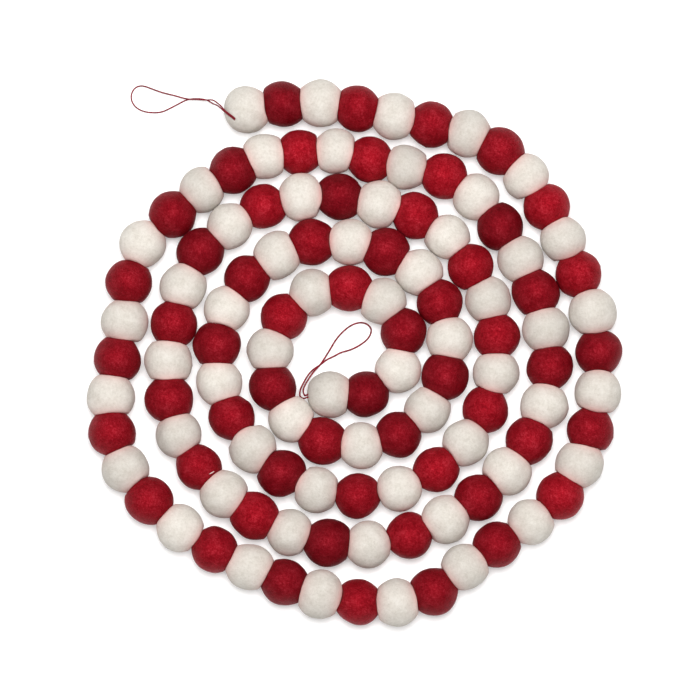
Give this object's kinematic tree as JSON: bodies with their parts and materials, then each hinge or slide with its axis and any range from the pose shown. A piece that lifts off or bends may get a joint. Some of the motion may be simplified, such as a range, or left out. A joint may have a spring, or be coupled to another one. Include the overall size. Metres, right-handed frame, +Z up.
{
  "type": "ball garland",
  "caption": "Garland of round felt balls in alternating colours, pressed together on a thread and laid as a flat spiral, with a hanging thread loop at either end.",
  "frame": {"origin": "on the surface that the garland lies on, under the middle of the spiral's outline, thread loops left out", "axes": "+Z up; +Y runs the way that the picture's upper edge lies, and the outer end with its loop is at -X, +Y; seen from +Z the string runs clockwise inwards"},
  "size_m": [0.3466, 0.3556, 0.0304],
  "materials": {
    "white_felt": "matt, softly fuzzy wool felt, off-white",
    "red_felt": "matt, softly fuzzy wool felt, deep red with a slight mottle",
    "red_thread": "thin twisted thread with a faint sheen, dark red"
  },
  "bodies": {
    "root": {"balls_001_003": "white_felt", "balls_004_005": "red_felt", "balls_006_007": "white_felt", "balls_008_009": "red_felt", "balls_010_011": "white_felt", "balls_012_013": "red_felt", "balls_014_015": "white_felt", "balls_016_017": "red_felt", "balls_018_019": "white_felt", "balls_020_021": "red_felt", "balls_022_023": "white_felt", "balls_024_025": "red_felt", "balls_026_027": "white_felt", "balls_028_029": "red_felt", "balls_030_031": "white_felt", "balls_032_033": "red_felt", "balls_034_035": "white_felt", "balls_036_037": "red_felt", "balls_038_039": "white_felt", "balls_040_041": "red_felt", "balls_042_043": "white_felt", "balls_044_045": "red_felt", "balls_046_047": "white_felt", "balls_048_049": "red_felt", "balls_050_051": "white_felt", "balls_052_053": "red_felt", "balls_054_055": "white_felt", "balls_056_057": "red_felt", "balls_058_059": "white_felt", "balls_060_061": "red_felt", "balls_062_063": "white_felt", "balls_064_065": "red_felt", "balls_066_067": "white_felt", "balls_068_069": "red_felt", "balls_070_071": "white_felt", "balls_072_073": "red_felt", "balls_074_075": "white_felt", "balls_076_077": "red_felt", "balls_078_079": "white_felt", "balls_080_081": "red_felt", "balls_082_083": "white_felt", "balls_084_085": "red_felt", "balls_086_087": "white_felt", "balls_088_089": "red_felt", "balls_090_091": "white_felt", "balls_092_093": "red_felt", "balls_094_095": "white_felt", "balls_096_097": "red_felt", "balls_098_099": "white_felt", "balls_100_101": "red_felt", "balls_102_103": "white_felt", "balls_104_105": "red_felt", "balls_106_107": "white_felt", "balls_108_109": "red_felt", "balls_110_111": "white_felt", "balls_112_113": "red_felt", "balls_114_115": "white_felt", "balls_116_117": "red_felt", "loop_outer": "red_thread", "loop_inner": "red_thread"}
  },
  "joints": []
}
